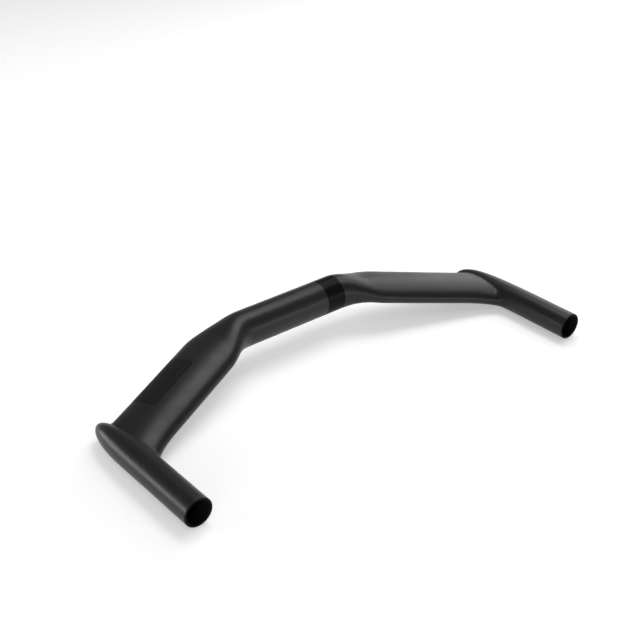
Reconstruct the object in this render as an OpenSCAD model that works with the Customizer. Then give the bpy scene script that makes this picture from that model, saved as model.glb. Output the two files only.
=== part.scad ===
// Aero base bar for a time trial cockpit, moulded as one hollow piece.
// X runs across the bar, -Y is forward (the way the rider faces), Z is up.
// The origin is the centre of the round clamp section.

/* [Clamp section] */
// Outside diameter where the stem clamps
clamp_d = 31.8; // [31.4:0.1:32.2]
// Length of the straight round section
clamp_w = 100; // [90:1:106]
// Wall thickness under the stem
clamp_wall = 2.8; // [2:0.1:4]

/* [Horns] */
// Distance between the two horn axes
horn_gap = 400; // [380:1:430]
// Outside diameter of a horn
horn_d = 23.8; // [23:0.1:25]
// Wall thickness at the mouth of a horn
horn_wall = 1.7; // [1.4:0.1:2.2]
// How far the mouths stand ahead of the clamp axis
reach = 150; // [140:0.5:170]
// How far the horn axes lie below the clamp axis
horn_drop = 22; // [18:0.5:25]
// Break of the edges at the mouth
rim_break = 0.4; // [0.2:0.1:0.6]

/* [Tail of each horn] */
// Where the round tube ends and the tail begins, ahead of the clamp axis
tail_from = 96.5; // [94:0.5:110]
// Where the tail ends, ahead of the clamp axis
tail_tip = 13.3; // [8:0.1:18]
// How far inboard the tip lies, as a share of the horn's radius
tip_in = 0.17; // [0:0.01:0.5]
// How far the tip dips below the horn axis
tip_dip = 2.1; // [0:0.1:4]
// Wall at the tip, as a multiple of the horn's wall
tip_wall = 1.8; // [1.2:0.1:2.2]

/* [Wings] */
// Forward sweep of a wing for each mm outboard
sweep = 0.393; // [0.36:0.001:0.42]
// Fall of a wing for each mm outboard
fall = 0.189; // [0.16:0.001:0.2]
// Greatest thickness of a wing next to the clamp section
wing_t = 18.8; // [17:0.1:21]
// Thinning of a wing for each mm outboard
thinning = 0.013; // [0:0.001:0.02]
// How much of the section is a pointed aerofoil, and how much an ellipse
point_share = 0.39; // [0.2:0.01:0.5]
// Tilt of the section, nose down, in degrees
tilt = 7.5; // [4:0.1:8]
// Wall thickness of a wing
wing_wall = 2.2; // [1.6:0.1:2.4]
// Wall at the trailing edge, as a multiple of the wing's wall
rear_wall = 1.9; // [1.6:0.1:2.1]
// Growth of the chord where a wing runs into its horn
flare = 5.7; // [3:0.1:8]
// Length of that growth, measured to the horn's axis
flare_l = 43.6; // [38:0.2:50]

/* [Transitions] */
// Length over which the round section turns into the wing section
turn_l = 33; // [29:0.5:37]
// Step of the trailing edge behind the round section
trail_step = 7.9; // [6:0.1:10]
// Where that step begins, outboard of the round section
trail_from = 14.8; // [12:0.1:18]
// Length of that step
trail_l = 38.3; // [34:0.1:42]
// Where the trailing edge begins to bend forward, outboard of the round section
trail_bend_from = 8.1; // [5:0.1:11]
// Length of that bend
trail_bend_l = 20; // [16:0.5:24]
// Step of the leading edge ahead of the round section
lead_step = 6.2; // [5:0.1:8]
// Where that step begins, outboard of the round section
lead_from = 7; // [5:0.1:9]
// Length of that step
lead_l = 28.8; // [25:0.1:32]
// How far inside the round section the leading edge begins to bend forward
lead_bend_in = 1.1; // [0.5:0.1:1.4]
// Length of that bend
lead_bend_l = 6.8; // [5.5:0.1:9]
// Length over which a wing bends down
fall_l = 30; // [26:0.5:34]
// Rise of a wing's middle that comes with its bend
crown = 2.3; // [1.5:0.1:3]

/* [Cable ports] */
// Length of a port along the bar
port_w = 13; // [9:0.5:15]
// Height of a port
port_h = 7; // [5:0.5:8]
// Distance of a port's middle from the centre of the bar
port_x = 62; // [60:1:66]

/* [Hidden] */
$fn = 96;
clamp_r = clamp_d / 2;
clamp_in = clamp_r - clamp_wall;
horn_r = horn_d / 2;
horn_in = horn_r - horn_wall;
horn_x = horn_gap / 2;
half_w = clamp_w / 2;
flare_from = horn_x - flare_l;
// The skins start inside the true cylinders and a little under them, so that no two surfaces coincide.
tuck = 2;
sink = 0.05;
root_r = clamp_r - sink;
// The wings end inside the horns, this far short of the horn's axis.
wing_end = 4;
// A wing starts to bend down just inside the round section.
fall_in = 0.6;
// Gives the pointed half of the section the same greatest thickness as the ellipse
point_scale = 1.5 * sqrt(3);
// Where each side of a tail starts to curve, and how bluntly it ends
outboard_curve = 4;
outboard_end = 0.48;
inboard_curve = 3;
inboard_end = 0.65;
height_curve = 4.4;
height_end = 0.6;
dip_curve = 1.2;

// A step from 0 to 1 with a soft start and end
function ease(t) = let (u = min(max(t, 0), 1)) u * u * (3 - 2 * u);
// A line that starts level and bends into a slope of 1 over the length l
function bend(x, from, l) = let (u = min(max((x - from) / l, 0), 1))
    x > from + l ? x - from - l / 2 : l * (pow(u, 3) - pow(u, 4) / 2);
// A curve from 1 at the start of a tail to 0 at its tip
function close(f, curve, end) = pow(max(1 - pow(f, curve), 0), end);

// Trailing and leading edge of a wing at the distance x from the middle
function trail_y(x) = root_r + trail_step * ease((x - half_w - trail_from) / trail_l)
    - sweep * bend(x, half_w + trail_bend_from, trail_bend_l);
function lead_y(x) = -root_r - lead_step * ease((x - half_w - lead_from) / lead_l)
    - sweep * bend(x, half_w - lead_bend_in, lead_bend_l)
    - flare * pow(max((x - flare_from) / (horn_x - horn_r - flare_from), 0), 3);
// How far the round section has turned into the wing section
function flat(x) = ease((x - half_w) / turn_l);
// Height of a section's middle, and its thickness
function wing_z(x) = -fall * bend(x, half_w - fall_in, fall_l) + crown * ease((x - half_w + fall_in) / fall_l);
function wing_h(x) = wing_t - thinning * max(x - half_w - turn_l, 0);

// One section of a wing, as a ring of points, drawn in by the wall w
function wing_ring(x, w, n) = let (
    s = flat(x),
    back = trail_y(x) - w * (1 + (rear_wall - 1) * s),
    front = lead_y(x) + w,
    c = back - front,
    t = 2 * root_r + (wing_h(x) - 2 * root_r) * s - 2 * w,
    p = point_share * s,
    a = tilt * s
) [for (i = [0 : n - 1]) let (
    q = 360 * i / n,
    u = (1 - cos(q)) / 2,
    e = sin(q),
    h = t / 2 * ((1 - p) * e + p * sign(e) * point_scale * sqrt(max(u, 0)) * (1 - u)),
    y = (u - 0.5) * c
) [x, (back + front) / 2 + y * cos(a) - h * sin(a), wing_z(x) + y * sin(a) + h * cos(a)]];

// One section of a horn's tail at the share f of its length, drawn in by the wall w
function tail_ring(f, w, n) = let (
    r = horn_r - w,
    end = -tail_tip - tip_wall * w,
    y = -tail_from + (end + tail_from) * f,
    out = r * (close(f, outboard_curve, outboard_end) * (1 + tip_in) - tip_in),
    in = r * (close(f, inboard_curve, inboard_end) * (1 - tip_in) + tip_in),
    b = r * close(f, height_curve, height_end)
) [for (i = [0 : n - 1]) let (q = 360 * i / n)
    [horn_x + (out - in) / 2 + (out + in) / 2 * cos(q), y, -horn_drop - tip_dip * pow(f, dip_curve) + b * sin(q)]];

// A straight lead-in inside the tube, a little smaller than it
function lead_ring(r, n) = [for (i = [0 : n - 1])
    [horn_x + r * cos(360 * i / n), -tail_from - tuck, -horn_drop + r * sin(360 * i / n)]];

// Closes a row of rings into a solid. The last ring may be one point.
module skin(rings, pointed = false) {
    n = len(rings[0]);
    m = len(rings);
    points = concat([for (k = [0 : m - (pointed ? 2 : 1)]) each rings[k]], pointed ? [rings[m - 1][0]] : []);
    last = pointed ? m - 2 : m - 1;
    sides = [for (k = [0 : last - 1], i = [0 : n - 1], h = [0, 1]) let (
        a = k * n + i, b = k * n + (i + 1) % n, c = a + n, d = b + n
    ) h == 0 ? [a, b, c] : [b, d, c]];
    nose = pointed ? [for (i = [0 : n - 1]) [last * n + i, last * n + (i + 1) % n, (last + 1) * n]] : [];
    first_cap = [[for (i = [n - 1 : -1 : 0]) i]];
    last_cap = pointed ? [] : [[for (i = [0 : n - 1]) last * n + i]];
    polyhedron(points = points, faces = concat(sides, nose, first_cap, last_cap), convexity = 6);
}

// Stations along a wing: close together where it bends, far apart where it is straight
function stations(bent, straight, end) = concat(
    [half_w - tuck],
    [for (i = [0 : bent]) half_w + sink / 5 + (turn_l + trail_l / 2 - 1) * pow(i / bent, 1.35)],
    [for (i = [0 : straight]) flare_from + i * (horn_x - end - flare_from) / straight]
);

module both_sides() {
    children();
    mirror([1, 0, 0]) children();
}

module wing_skin(w, xs, n) {
    skin([for (x = xs) wing_ring(x, w, n)]);
}

module tail_skin(w, steps, n) {
    skin(concat([lead_ring(horn_r - w - sink, n)],
        [for (k = [0 : steps]) tail_ring(sin(90 * k / steps), w + (k == 0 ? sink : 0), n)]), true);
}

module along_x(r, l) {
    rotate([0, 90, 0]) cylinder(r = r, h = l, center = true);
}

// The round tube of a horn, with both edges of its mouth broken
module horn_tube() {
    l = reach - tail_from;
    translate([horn_x, -tail_from, -horn_drop]) rotate([90, 0, 0]) rotate_extrude()
        polygon([[0, 0], [horn_r, 0], [horn_r, l - rim_break], [horn_r - rim_break, l], [0, l]]);
}

module horn_bore() {
    l = reach - tail_from;
    translate([horn_x, -tail_from, -horn_drop]) rotate([90, 0, 0]) {
        cylinder(r = horn_in, h = l + 1);
        translate([0, 0, l - rim_break]) cylinder(r1 = horn_in, r2 = horn_in + 2 * rim_break, h = 2 * rim_break);
    }
}

// An oval port through the rear wall, from the hollow outward
module cable_port() {
    l = clamp_d + trail_step;
    translate([port_x, tuck, wing_z(port_x)]) rotate([-90, 0, 0]) {
        for (s = [-1, 1]) translate([s * (port_w - port_h) / 2, 0, 0]) cylinder(d = port_h, h = l);
        translate([-(port_w - port_h) / 2, -port_h / 2, 0]) cube([port_w - port_h, port_h, l]);
    }
}

module solid_bar() {
    along_x(clamp_r, clamp_w);
    both_sides() {
        horn_tube();
        tail_skin(0, 12, 32);
        wing_skin(0, stations(13, 7, wing_end), 36);
    }
}

module hollow() {
    along_x(clamp_in, clamp_w);
    both_sides() {
        horn_bore();
        tail_skin(horn_wall, 6, 20);
        wing_skin(wing_wall, stations(7, 3, wing_end - 1), 24);
        cable_port();
    }
}

module base_bar() {
    color([0.06, 0.06, 0.065]) difference() {
        solid_bar();
        hollow();
    }
}

base_bar();
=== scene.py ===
# Looks of the aero base bar: a satin black hollow moulding with a gloss band and a ribbed panel.
# The frame is that of the solids: X across the bar, -Y forward, Z up, origin in the clamp section.
# Meshes are in metres, and the sizes in the dictionaries in millimetres and degrees.
from math import cos, pi, radians, sin

import bmesh
import bpy
from mathutils import Matrix, Vector
from mathutils.kdtree import KDTree


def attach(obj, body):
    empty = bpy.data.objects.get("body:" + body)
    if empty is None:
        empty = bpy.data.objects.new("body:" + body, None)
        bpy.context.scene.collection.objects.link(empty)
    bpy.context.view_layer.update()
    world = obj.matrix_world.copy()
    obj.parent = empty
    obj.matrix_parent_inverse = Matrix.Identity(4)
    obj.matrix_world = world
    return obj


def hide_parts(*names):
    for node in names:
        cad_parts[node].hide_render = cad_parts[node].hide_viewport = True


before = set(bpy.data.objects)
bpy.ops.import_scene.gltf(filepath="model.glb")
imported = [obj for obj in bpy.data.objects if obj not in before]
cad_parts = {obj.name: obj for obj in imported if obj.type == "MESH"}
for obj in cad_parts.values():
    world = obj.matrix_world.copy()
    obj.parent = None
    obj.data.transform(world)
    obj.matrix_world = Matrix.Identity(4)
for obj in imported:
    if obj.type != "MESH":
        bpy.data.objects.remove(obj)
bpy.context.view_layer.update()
mm = 0.001
print("frame loaded")

# How near a point counts as being at a place, and how near two points are welded
near = dict(station=0.1, tailStation=0.002, weld=0.01, mirror=0.1, mouth=0.001)


def selectNothing():
    if bpy.context.object and bpy.context.object.mode != "OBJECT":
        bpy.ops.object.mode_set(mode="OBJECT")
    bpy.ops.object.select_all(action="DESELECT")


def work(piece, mode="OBJECT"):  # makes one piece the only selected and active one
    selectNothing()
    piece.select_set(True)
    bpy.context.view_layer.objects.active = piece
    if mode == "EDIT":
        bpy.ops.object.mode_set(mode="EDIT")


def pick(piece, test, kind="VERT"):  # selects in edit mode by place or normal
    bpy.ops.mesh.select_mode(type=kind)
    bpy.ops.mesh.select_all(action="DESELECT")
    mesh = bmesh.from_edit_mesh(piece.data)
    items = {"VERT": mesh.verts, "EDGE": mesh.edges, "FACE": mesh.faces}[kind]
    for item in items:
        if test(item):
            item.select_set(True)
    bmesh.update_edit_mesh(piece.data)


def ring(name, points, radius, at, turn=(0, 0, 0)):  # an open circle, placed in its mesh
    selectNothing()
    bpy.ops.mesh.primitive_circle_add(vertices=points, radius=radius * mm,
                                      location=[v * mm for v in at], rotation=[radians(v) for v in turn])
    piece = bpy.context.object
    piece.name = name
    bpy.ops.object.transform_apply(location=True, rotation=True, scale=True)
    return piece


def extrudeAlong(axis, stops):  # pulls the selected ring through a row of stops
    for a, b in zip(stops, stops[1:]):
        step = [0, 0, 0]
        step[axis] = (b - a) * mm
        bpy.ops.mesh.extrude_edges_move(TRANSFORM_OT_translate={"value": step})


def apply(piece, kind, **settings):  # adds a modifier and applies it
    work(piece)
    mod = piece.modifiers.new(kind.title(), kind)
    for key, value in settings.items():
        setattr(mod, key, value)
    bpy.ops.object.modifier_apply(modifier=mod.name)


def closeUp(piece):  # caps the open ends, welds and turns every face outwards
    work(piece, "EDIT")
    bpy.ops.mesh.select_all(action="SELECT")
    bpy.ops.mesh.remove_doubles(threshold=near["weld"] * mm)
    bpy.ops.mesh.select_mode(type="EDGE")
    bpy.ops.mesh.select_all(action="DESELECT")
    bpy.ops.mesh.select_non_manifold(extend=False, use_wire=False, use_multi_face=False,
                                     use_non_contiguous=False, use_verts=False)
    bpy.ops.mesh.fill_holes(sides=0)
    bpy.ops.mesh.select_all(action="SELECT")
    bpy.ops.mesh.normals_make_consistent(inside=False)
    bpy.ops.object.mode_set(mode="OBJECT")


def join(piece, other, how):  # boolean with another piece, which is used up and leaves its material
    apply(piece, "BOOLEAN", operation=how, object=other, solver="EXACT", material_mode="TRANSFER")
    bpy.data.objects.remove(other, do_unlink=True)


def ease(t):  # from 0 to 1, soft at both ends
    t = min(max(t, 0), 1)
    return t * t * (3 - 2 * t)


def bend(x, start, length):  # starts level and bends into a slope of 1
    t = min(max((x - start) / length, 0), 1)
    return x - start - length / 2 if t == 1 else length * (t ** 3 - t ** 4 / 2)


def spread(a, b, step):  # even stops from a to b, about one step apart
    n = max(1, round((b - a) / step))
    return [a + (b - a) * i / n for i in range(n + 1)]


# The wings with the clamp section between them: one tube, pulled out along X and shaped ring by ring.
wing = dict(
    clampRadius=15.9, halfClamp=50, hornX=200, hornRadius=11.9,
    sweep=0.393, fall=0.189, thickness=18.8, thinning=0.013, tilt=7.5,
    turnLength=33, trailStep=7.9, trailFrom=14.8, trailLength=38.3, trailBendFrom=8.1, trailBend=20,
    leadStep=6.2, leadFrom=7, leadLength=28.8, leadBendIn=1.1, leadBend=6.8,
    fallIn=0.6, fallLength=30, crown=2.3, flare=5.7, flareLength=43.6,
    taper=0.36, taperAt=120, fullness=0.965, points=128,
    # where the rings stand, as (start, end, step): close together where the wing bends or meets its horn
    rings=((0, 46, 12), (48, 108, 2), (112, 156, 4), (158, 182, 2), (183, 196, 1)),
)


def wingSection(x, wall, rearWall):  # chord, thickness, middle and share of the wing shape
    w = wing
    out = x - w["halfClamp"]
    share = ease(out / w["turnLength"])
    back = (w["clampRadius"] + w["trailStep"] * ease((out - w["trailFrom"]) / w["trailLength"])
            - w["sweep"] * bend(out, w["trailBendFrom"], w["trailBend"]) - wall - (rearWall - wall) * share)
    flareFrom = w["hornX"] - w["flareLength"]
    front = (-w["clampRadius"] - w["leadStep"] * ease((out - w["leadFrom"]) / w["leadLength"])
             - w["sweep"] * bend(out, -w["leadBendIn"], w["leadBend"])
             - w["flare"] * max((x - flareFrom) / (w["hornX"] - w["hornRadius"] - flareFrom), 0) ** 3 + wall)
    thick = w["thickness"] - w["thinning"] * max(out - w["turnLength"], 0)
    circle = 2 * w["clampRadius"]
    high = circle + (thick - circle) * share - 2 * wall
    middleZ = (-w["fall"] * bend(out, -w["fallIn"], w["fallLength"])
               + w["crown"] * ease((out + w["fallIn"]) / w["fallLength"]))
    return back - front, high, (back + front) / 2, middleZ, share


# A wing with its half of the clamp section, mirrored. A hollow one is drawn in by its walls, and the clamp's
# wall turns into the wing's over the length wallChange.
def wingBody(name, rings, points, wall=0, rearWall=0, clampWall=0, wallChange=10):
    w = wing
    stops = [x for row in rings for x in spread(*row)]
    body = ring(name, points, w["clampRadius"], (0, 0, 0), (0, 90, 0))
    work(body, "EDIT")
    bpy.ops.mesh.select_all(action="SELECT")
    extrudeAlong(0, stops)
    bpy.ops.object.mode_set(mode="OBJECT")
    bpy.ops.object.vertex_group_add()
    bpy.ops.object.mode_set(mode="EDIT")
    for x in stops:
        own = clampWall + (wall - clampWall) * ease((x - w["halfClamp"]) / wallChange)
        chord, high, middleY, middleZ, share = wingSection(x, own, rearWall)
        pick(body, lambda v: abs(v.co.x - x * mm) < near["station"] * mm)
        fuller = 1 + (w["fullness"] - 1) * share
        circle = 2 * w["clampRadius"]
        bpy.ops.transform.resize(value=(1, chord / circle, high * fuller / circle),
                                 center_override=(x * mm, 0, 0))
        bpy.context.scene.tool_settings.vertex_group_weight = share
        bpy.ops.object.vertex_group_assign()
    # the section is thicker in front and thinner behind
    longest = max(wingSection(x, wall, rearWall)[0] for x in stops)
    usual = wingSection(w["taperAt"], wall, rearWall)[0]
    apply(body, "SIMPLE_DEFORM", deform_method="TAPER", deform_axis="Y", lock_x=True,
          factor=-w["taper"] * longest / usual, vertex_group=body.vertex_groups[0].name)
    work(body, "EDIT")
    for x in stops:
        chord, high, middleY, middleZ, share = wingSection(x, wall, rearWall)
        pick(body, lambda v: abs(v.co.x - x * mm) < near["station"] * mm)
        bpy.ops.transform.rotate(value=-radians(w["tilt"] * share), orient_axis="X",
                                 center_override=(x * mm, 0, 0))
        bpy.ops.transform.translate(value=(0, middleY * mm, middleZ * mm))
    bpy.ops.object.mode_set(mode="OBJECT")
    apply(body, "MIRROR", use_axis=(True, False, False), use_clip=True, merge_threshold=near["mirror"] * mm)
    closeUp(body)
    return body


bar = wingBody("baseBar", wing["rings"], wing["points"])
print("wings:", len(bar.data.vertices), "vertices")

# The horns: a straight round tube each, closed behind by a tapered tail that curves in.
horn = dict(
    x=wing["hornX"], radius=wing["hornRadius"], drop=22, wall=1.7, reach=150,
    tailFrom=96.5, tailTip=13.3, tipIn=0.17, tipDip=2.1, dipCurve=1.2, tipWall=1.8, tipSize=0.001,
    # how late each side of the tail starts to curve, and how bluntly it ends
    outboard=(4, 0.48), inboard=(3, 0.65), height=(4.4, 0.6),
    points=128, step=1.5, tailRings=40,
)


def closing(f, shape):  # from 1 at the start of the tail to 0 at its tip
    return max(1 - f ** shape[0], 0) ** shape[1]


def hornBody(name, points, step, tailRings, wall=0, pastMouth=0):  # both horns, or both bores
    h = horn
    r = h["radius"] - wall
    tip = -h["tailTip"] - h["tipWall"] * wall
    shares = [sin(radians(90 * k / tailRings)) for k in range(1, tailRings + 1)]
    tail = [-h["tailFrom"] + (tip + h["tailFrom"]) * f for f in shares]
    front = -h["reach"] - pastMouth
    body = ring(name, points, r, (h["x"], front, -h["drop"]), (90, 0, 0))
    work(body, "EDIT")
    bpy.ops.mesh.select_all(action="SELECT")
    extrudeAlong(1, spread(front, -h["tailFrom"], step) + tail)
    for y, f in zip(tail, shares):
        pick(body, lambda v: abs(v.co.y - y * mm) < near["tailStation"] * mm)
        outboard = closing(f, h["outboard"]) * (1 + h["tipIn"]) - h["tipIn"]
        inboard = closing(f, h["inboard"]) * (1 - h["tipIn"]) + h["tipIn"]
        atTip = f == shares[-1]
        wide = h["tipSize"] if atTip else (outboard + inboard) / 2
        high = h["tipSize"] if atTip else closing(f, h["height"])
        bpy.ops.transform.resize(value=(wide, 1, high),
                                 center_override=(h["x"] * mm, y * mm, -h["drop"] * mm))
        bpy.ops.transform.translate(value=((outboard - inboard) / 2 * r * mm, 0,
                                           -h["tipDip"] * f ** h["dipCurve"] * mm))
    bpy.ops.mesh.merge(type="CENTER")
    bpy.ops.object.mode_set(mode="OBJECT")
    apply(body, "MIRROR", use_axis=(True, False, False), use_mirror_merge=False)
    closeUp(body)
    return body


horns = hornBody("hornTubes", horn["points"], horn["step"], horn["tailRings"])
print("horns:", len(horns.data.vertices), "vertices")
join(bar, horns, "UNION")
print("joined:", len(bar.data.vertices), "vertices")

# The narrow fillet where each wing runs into its horn, with a fine groove in it, wider at the leading edge.
fillet = dict(
    reach=1.5, groove=0.5, grooveReach=0.6, shares=(0.3, 0.5, 0.7, 0.85, 1), passes=5, softness=0.5,
    frontReach=3, front=-68, frontLength=12,  # it widens to frontReach over this length
    extraFront=-71,  # ahead of this it is smoothed three times as much
    outboardOf=170, sharp=14, weld=0.12,
)


def creaseSpots(piece):  # points along the sharp inner corner between wing and horn
    mesh = bmesh.new()
    mesh.from_mesh(piece.data)
    sharp = [e for e in mesh.edges
             if len(e.link_faces) == 2 and e.calc_face_angle_signed(0) < -radians(fillet["sharp"])]
    spots = [(e.verts[0].co + e.verts[1].co) / 2 for e in sharp]
    mesh.free()
    return [spot for spot in spots if abs(spot.x) > fillet["outboardOf"] * mm]


spots = creaseSpots(bar)
tree = KDTree(len(spots))
for i, spot in enumerate(spots):
    tree.insert(spot, i)
tree.balance()
print("crease:", len(spots), "edges")


def nearCrease(v, reach):
    return abs(v.co.x) > fillet["outboardOf"] * mm and tree.find(v.co)[2] < reach * mm


def reachAt(v, share):  # how far the fillet reaches from the corner
    wider = ease((fillet["front"] - v.co.y / mm) / fillet["frontLength"])
    return (fillet["reach"] + (fillet["frontReach"] - fillet["reach"]) * wider) * share


work(bar, "EDIT")
bpy.ops.mesh.select_all(action="SELECT")
bpy.ops.mesh.remove_doubles(threshold=fillet["weld"] * mm)
pick(bar, lambda v: nearCrease(v, fillet["grooveReach"]))
bpy.ops.transform.shrink_fatten(value=-fillet["groove"] * mm)
for share in fillet["shares"]:
    pick(bar, lambda v: nearCrease(v, reachAt(v, share)))
    bpy.ops.mesh.vertices_smooth(factor=fillet["softness"], repeat=fillet["passes"])
    pick(bar, lambda v: v.co.y / mm < fillet["extraFront"] and nearCrease(v, reachAt(v, share)))
    bpy.ops.mesh.vertices_smooth(factor=fillet["softness"], repeat=2 * fillet["passes"])
bpy.ops.object.mode_set(mode="OBJECT")

# Finishes. Each has its own values, and a shared group gives the fine unevenness of a lacquered laminate.
finish = dict(grainSize=0.9, patchSize=11, speckSize=1.2, grainDetail=3, patchDetail=4, speckDetail=2,
              noiseLow=0.3, noiseHigh=0.7)


def grainGroup():
    group = bpy.data.node_groups.new("laminateGrain", "ShaderNodeTree")
    for name in ("Grain Depth", "Roughness", "Spread"):
        group.interface.new_socket(name=name, in_out="INPUT", socket_type="NodeSocketFloat")
    for name in ("Tone", "Roughness"):
        group.interface.new_socket(name=name, in_out="OUTPUT", socket_type="NodeSocketFloat")
    group.interface.new_socket(name="Normal", in_out="OUTPUT", socket_type="NodeSocketVector")
    nodes, wires = group.nodes, group.links
    put, out = nodes.new("NodeGroupInput"), nodes.new("NodeGroupOutput")
    where = nodes.new("ShaderNodeTexCoord")

    def noise(size, detail):
        made = nodes.new("ShaderNodeTexNoise")
        made.inputs["Scale"].default_value = 1 / (size * mm)
        made.inputs["Detail"].default_value = detail
        wires.new(where.outputs["Object"], made.inputs["Vector"])
        return made.outputs["Fac"]

    def calculate(how, a, b):
        made = nodes.new("ShaderNodeMath")
        made.operation = how
        wires.new(a, made.inputs[0])
        wires.new(b, made.inputs[1])
        return made.outputs["Value"]

    def remap(value, *limits):
        made = nodes.new("ShaderNodeMapRange")
        for name, limit in zip(("From Min", "From Max", "To Min", "To Max"), limits):
            made.inputs[name].default_value = limit
        wires.new(value, made.inputs["Value"])
        return made.outputs["Result"]

    fine = noise(finish["grainSize"], finish["grainDetail"])
    patches = noise(finish["patchSize"], finish["patchDetail"])
    specks = noise(finish["speckSize"], finish["speckDetail"])
    low, high = finish["noiseLow"], finish["noiseHigh"]
    uneven = remap(calculate("ADD", patches, specks), 2 * low, 2 * high, -1, 1)  # around 0, from both
    rough = calculate("ADD", calculate("MULTIPLY", uneven, put.outputs["Spread"]), put.outputs["Roughness"])
    wires.new(rough, out.inputs["Roughness"])
    wires.new(remap(fine, low, high, 0, 1), out.inputs["Tone"])
    bump = nodes.new("ShaderNodeBump")
    bump.inputs["Strength"].default_value = 1
    wires.new(put.outputs["Grain Depth"], bump.inputs["Distance"])
    wires.new(fine, bump.inputs["Height"])
    wires.new(bump.outputs["Normal"], out.inputs["Normal"])
    return group


grain = grainGroup()


def lacquer(name, dark, light, roughness, variation, grainDepth, specular):
    made = bpy.data.materials.new(name)
    made.use_nodes = True
    nodes, wires = made.node_tree.nodes, made.node_tree.links
    shader = nodes["Principled BSDF"]
    shader.inputs["Specular IOR Level"].default_value = specular
    surface = nodes.new("ShaderNodeGroup")
    surface.node_tree = grain
    surface.inputs["Grain Depth"].default_value = grainDepth * mm
    surface.inputs["Roughness"].default_value = roughness
    surface.inputs["Spread"].default_value = variation
    colour = nodes.new("ShaderNodeMix")
    colour.data_type = "RGBA"
    colour.inputs["A"].default_value = (*dark, 1)
    colour.inputs["B"].default_value = (*light, 1)
    wires.new(surface.outputs["Tone"], colour.inputs["Factor"])
    wires.new(colour.outputs["Result"], shader.inputs["Base Color"])
    wires.new(surface.outputs["Roughness"], shader.inputs["Roughness"])
    wires.new(surface.outputs["Normal"], shader.inputs["Normal"])
    return made


satinBlack = lacquer("satinBlack", dark=(0.0105, 0.0105, 0.011), light=(0.0155, 0.0155, 0.016),
                     roughness=0.34, variation=0.06, grainDepth=0.05, specular=0.25)
glossBlack = lacquer("glossBlack", dark=(0.003, 0.003, 0.003), light=(0.0045, 0.0045, 0.0045),
                     roughness=0.28, variation=0.03, grainDepth=0.008, specular=0.06)
darkRibs = lacquer("darkRibs", dark=(0.0025, 0.0025, 0.0025), light=(0.0045, 0.0045, 0.0045),
                   roughness=0.45, variation=0.05, grainDepth=0.004, specular=0.06)
rawInside = lacquer("rawInside", dark=(0.004, 0.004, 0.004), light=(0.008, 0.008, 0.008),
                    roughness=0.8, variation=0.08, grainDepth=0.05, specular=0.1)
cutEdge = lacquer("cutEdge", dark=(0.003, 0.003, 0.003), light=(0.006, 0.006, 0.006),
                  roughness=0.6, variation=0.08, grainDepth=0.02, specular=0.08)


def paint(piece, material):
    piece.data.materials.clear()
    piece.data.materials.append(material)


paint(bar, satinBlack)
print("finishes made")

# The gloss band: a thin film around one end of the clamp section, cut out of its surface.
band = dict(start=32.7, end=51.65, film=0.07, spare=14)
work(bar, "EDIT")
pick(bar, lambda f: band["start"] - band["spare"] < f.calc_center_median().x / mm
     < band["end"] + band["spare"], "FACE")
bpy.ops.mesh.duplicate()
bpy.ops.mesh.separate(type="SELECTED")
bpy.ops.object.mode_set(mode="OBJECT")
glossBand = [o for o in bpy.context.selected_objects if o != bar][0]
glossBand.name = "glossBand"
work(glossBand, "EDIT")
for edge, side in ((band["start"], -1), (band["end"], 1)):
    bpy.ops.mesh.select_all(action="SELECT")
    bpy.ops.mesh.bisect(plane_co=(edge * mm, 0, 0), plane_no=(side, 0, 0), clear_outer=True)
bpy.ops.object.mode_set(mode="OBJECT")
apply(glossBand, "SOLIDIFY", thickness=band["film"] * mm, offset=1, use_even_offset=True)
paint(glossBand, glossBlack)
print("band:", len(glossBand.data.vertices), "vertices")

# The hollow inside: wings, clamp section and horns are one open space.
hollow = dict(
    clampWall=2.8, wall=2.2, rearWall=4.2, rings=((0, 46, 15), (49, 106, 3), (112, 197, 5)), points=64,
    borePoints=96, boreStep=6, boreTailRings=14, pastMouth=2,
)
inner = wingBody("hollow", hollow["rings"], hollow["points"],
                 hollow["wall"], hollow["rearWall"], hollow["clampWall"])
bores = hornBody("bores", hollow["borePoints"], hollow["boreStep"], hollow["boreTailRings"],
                 horn["wall"], hollow["pastMouth"])
join(inner, bores, "UNION")

# Two cable ports in the rear wall, ovals at the height of the wing's middle.
port = dict(x=62, width=13, height=7, start=2, length=38, points=48)
portZ = wingSection(port["x"], 0, 0)[3]
ports = ring("ports", port["points"], port["height"] / 2, (port["x"], port["start"], portZ), (90, 0, 0))
work(ports, "EDIT")
for side in (-1, 1):
    pick(ports, lambda v: (v.co.x / mm - port["x"]) * side > near["station"])
    bpy.ops.transform.translate(value=(side * (port["width"] - port["height"]) / 2 * mm, 0, 0))
bpy.ops.mesh.select_all(action="SELECT")
extrudeAlong(1, [port["start"], port["start"] + port["length"]])
bpy.ops.object.mode_set(mode="OBJECT")
apply(ports, "MIRROR", use_axis=(True, False, False), use_mirror_merge=False)
closeUp(ports)
join(inner, ports, "UNION")
paint(inner, rawInside)
join(bar, inner, "DIFFERENCE")
print("hollowed:", len(bar.data.vertices), "vertices")

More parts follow.
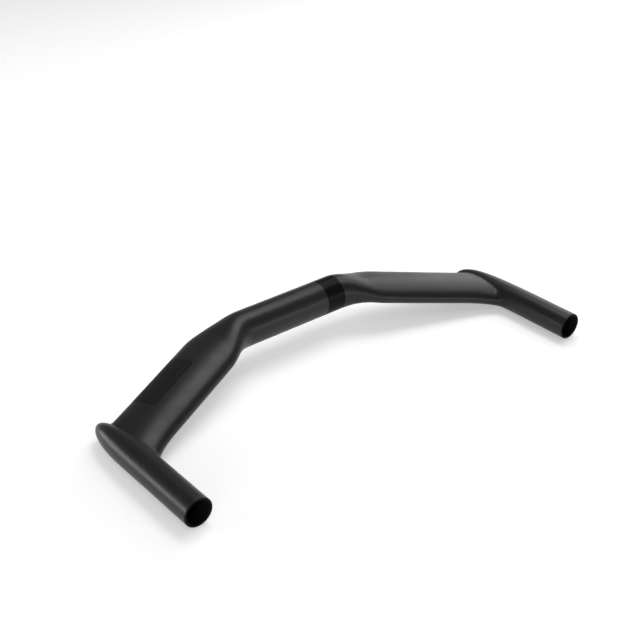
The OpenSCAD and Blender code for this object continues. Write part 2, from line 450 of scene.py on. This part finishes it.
# Rounded edges at the mouths and the ports. The cut ends of the horns are left raw.
edges = dict(rim=0.45, rimSegments=4, rimSharp=60, cutDepth=0.4, cutFacing=0.8,
             port=0.35, portSegments=3, smooth=38)
bar.data.materials.append(cutEdge)
work(bar, "EDIT")
pick(bar, lambda e: all(abs(v.co.y / mm + horn["reach"]) < near["mouth"] for v in e.verts)
     and len(e.link_faces) == 2 and e.calc_face_angle() > radians(edges["rimSharp"]), "EDGE")
bpy.ops.mesh.bevel(offset=edges["rim"] * mm, segments=edges["rimSegments"], profile=0.5, clamp_overlap=False)
pick(bar, lambda f: f.calc_center_median().y / mm < edges["cutDepth"] - horn["reach"]
     and f.normal.y < -edges["cutFacing"], "FACE")
bar.active_material_index = len(bar.data.materials) - 1
bpy.ops.object.material_slot_assign()
pick(bar, lambda e: e.verts[0].co.y > 0 and len(e.link_faces) == 2
     and e.link_faces[0].material_index != e.link_faces[1].material_index, "EDGE")
bpy.ops.mesh.bevel(offset=edges["port"] * mm, segments=edges["portSegments"], profile=0.5, clamp_overlap=True)
bpy.ops.object.mode_set(mode="OBJECT")
for piece in (bar, glossBand):
    work(piece)
    bpy.ops.object.shade_smooth_by_angle(angle=radians(edges["smooth"]))
print("edges rounded")

# The ribbed panel on one wing: fine raised ribs along the wing inside a thin frame, laid on its surface.
panel = dict(cornerX=-113.8, cornerY=-19.2, length=52.1, width=21, turn=21.05, ribs=9, rib=0.45, ribShort=2,
             frame=0.55, height=0.1, gap=0.02, above=30, cuts=26)
panelTurn = radians(panel["turn"])
corner = Vector((panel["cornerX"], panel["cornerY"]))
outboard = Vector((-cos(panelTurn), -sin(panelTurn)))
rearward = Vector((-sin(panelTurn), cos(panelTurn)))


def strip(out, back, length, width):  # flat, above the wing, and cut finely so that it can lie down on it
    selectNothing()
    at = corner + outboard * out + rearward * back
    bpy.ops.mesh.primitive_plane_add(size=1, location=(at.x * mm, at.y * mm, panel["above"] * mm),
                                     rotation=(0, 0, panelTurn))
    piece = bpy.context.object
    piece.scale = (length * mm, width * mm, 1)
    bpy.ops.object.transform_apply(location=True, rotation=True, scale=True)
    bpy.ops.object.mode_set(mode="EDIT")
    bpy.ops.mesh.subdivide(number_cuts=panel["cuts"])
    bpy.ops.object.mode_set(mode="OBJECT")
    return piece


def panelStrips():
    long, wide, rail = panel["length"], panel["width"], panel["frame"]
    ribPlaces = [rail + (wide - 2 * rail) * (i + 0.5) / panel["ribs"] for i in range(panel["ribs"])]
    ribs = [strip(long / 2, back, long - panel["ribShort"], panel["rib"]) for back in ribPlaces]
    sides = [strip(long / 2, back, long, rail) for back in (0, wide)]
    ends = [strip(out, wide / 2, rail, wide + rail) for out in (0, long)]
    return ribs + sides + ends


strips = panelStrips()
work(strips[0])
for piece in strips:
    piece.select_set(True)
bpy.ops.object.join()
ribPanel = strips[0]
ribPanel.name = "ribPanel"
apply(ribPanel, "SHRINKWRAP", target=bar, wrap_method="PROJECT",
      use_project_x=False, use_project_y=False, use_project_z=True,
      use_negative_direction=True, use_positive_direction=False, offset=panel["gap"] * mm)
apply(ribPanel, "SOLIDIFY", thickness=panel["height"] * mm, offset=1)
paint(ribPanel, darkRibs)
print("panel:", len(ribPanel.data.vertices), "vertices")

for piece in (glossBand, ribPanel):
    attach(piece, "root")

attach(bar, "root")
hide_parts("base_bar")

# Stage: a pale floor, and a soft room that is light at the horizon and dim above.
stage = dict(floor=-34.9, size=16000, floorTone=0.8, lift=0.38, horizon=0.45, above=0.2, fade=0.42)
selectNothing()
bpy.ops.mesh.primitive_plane_add(size=stage["size"] * mm, location=(0, 0, stage["floor"] * mm))
floor = bpy.context.object
floor.name = "floor"
paleFloor = bpy.data.materials.new("paleFloor")
paleFloor.use_nodes = True
nodes, wires = paleFloor.node_tree.nodes, paleFloor.node_tree.links
shader = nodes["Principled BSDF"]
shader.inputs["Base Color"].default_value = (stage["floorTone"],) * 3 + (1,)
shader.inputs["Roughness"].default_value = 1
shader.inputs["Specular IOR Level"].default_value = 0
shader.inputs["Emission Color"].default_value = (1, 1, 1, 1)
# the floor's glow is seen by the camera and in reflections, and doesn't light the bar
rays = nodes.new("ShaderNodeLightPath")
seen = rays.outputs["Is Camera Ray"]
for kind in ("Is Glossy Ray", "Is Transmission Ray"):
    either = nodes.new("ShaderNodeMath")
    either.operation = "MAXIMUM"
    wires.new(seen, either.inputs[0])
    wires.new(rays.outputs[kind], either.inputs[1])
    seen = either.outputs["Value"]
glow = nodes.new("ShaderNodeMath")
glow.operation = "MULTIPLY"
glow.inputs[1].default_value = stage["lift"]
wires.new(seen, glow.inputs[0])
wires.new(glow.outputs["Value"], shader.inputs["Emission Strength"])
paint(floor, paleFloor)

room = bpy.data.worlds.new("softRoom")
bpy.context.scene.world = room
room.use_nodes = True
nodes, wires = room.node_tree.nodes, room.node_tree.links
where = nodes.new("ShaderNodeTexCoord")
split = nodes.new("ShaderNodeSeparateXYZ")
tone = nodes.new("ShaderNodeMapRange")
tone.interpolation_type = "SMOOTHSTEP"
tone.inputs["From Min"].default_value = 0
tone.inputs["From Max"].default_value = stage["fade"]
tone.inputs["To Min"].default_value = stage["horizon"]
tone.inputs["To Max"].default_value = stage["above"]
wires.new(where.outputs["Generated"], split.inputs["Vector"])
wires.new(split.outputs["Z"], tone.inputs["Value"])
wires.new(tone.outputs["Result"], nodes["Background"].inputs["Strength"])
nodes["Background"].inputs["Color"].default_value = (1, 1, 1, 1)
print("floor and room set")

# Lamps: each is a soft box around the bar. turn is from straight behind towards +X, tip is above the floor,
# and away, width and height are in metres.
lamps = {
    "boxLeft": dict(turn=-48, tip=5.5, away=1.5, width=1.3, height=0.36, light=7),
    "boxRight": dict(turn=68, tip=28, away=1.4, width=0.85, height=1.15, light=1.75),
    "boxTop": dict(turn=62, tip=67, away=1.3, width=0.9, height=0.5, light=5.2),
    "boxFront": dict(turn=172, tip=8, away=1.6, width=2.6, height=0.36, light=3.1),
    "boxSide": dict(turn=-124, tip=9, away=1.6, width=0.7, height=0.42, light=6),
    "floorBox": dict(turn=-141, tip=62, away=4, width=2, height=2, light=1.15),
}
heart = Vector((0, -0.06, -0.01))  # what the lamps face
for name, lamp in lamps.items():
    turn, tip = radians(lamp["turn"]), radians(lamp["tip"])
    toLamp = Vector((sin(turn) * cos(tip), cos(turn) * cos(tip), sin(tip)))
    selectNothing()
    bpy.ops.object.light_add(type="AREA", location=heart + toLamp * lamp["away"],
                             rotation=toLamp.to_track_quat("Z", "Y").to_euler())
    light = bpy.context.object
    light.name = name
    light.visible_camera = False
    light.data.shape = "RECTANGLE"
    light.data.size, light.data.size_y = lamp["width"], lamp["height"]
    light.data.energy = lamp["light"] * pi * lamp["width"] * lamp["height"]
    if name == "floorBox":  # lights only the floor, so that it stays white
        lit = bpy.data.collections.new("litFloor")
        lit.objects.link(floor)
        light.light_linking.receiver_collection = lit
print("lamps set")

# Camera, at the photograph's viewing angle. side and up shift it against the origin, away is its distance.
view = dict(turn=40.416, tip=30.351, roll=0.638, lens=63.45, side=-27.4, up=-7.98, away=979.1, sensor=36)
turn, tip, roll = (radians(view[angle]) for angle in ("turn", "tip", "roll"))
right = Vector((cos(turn), -sin(turn), 0))
ahead = Vector((sin(turn) * cos(tip), cos(turn) * cos(tip), -sin(tip)))
above = Vector((sin(turn) * sin(tip), cos(turn) * sin(tip), cos(tip)))
place = (-right * view["side"] + above * view["up"] - ahead * view["away"]) * mm
camRight = right * cos(roll) + above * sin(roll)
camUp = above * cos(roll) - right * sin(roll)
selectNothing()
bpy.ops.object.camera_add(location=place)
camera = bpy.context.object
camera.matrix_world = Matrix.Translation(place) @ Matrix((camRight, camUp, -ahead)).transposed().to_4x4()
camera.data.lens = view["lens"]
camera.data.sensor_width = view["sensor"]
bpy.context.scene.camera = camera

bpy.context.scene.view_settings.view_transform = "Standard"
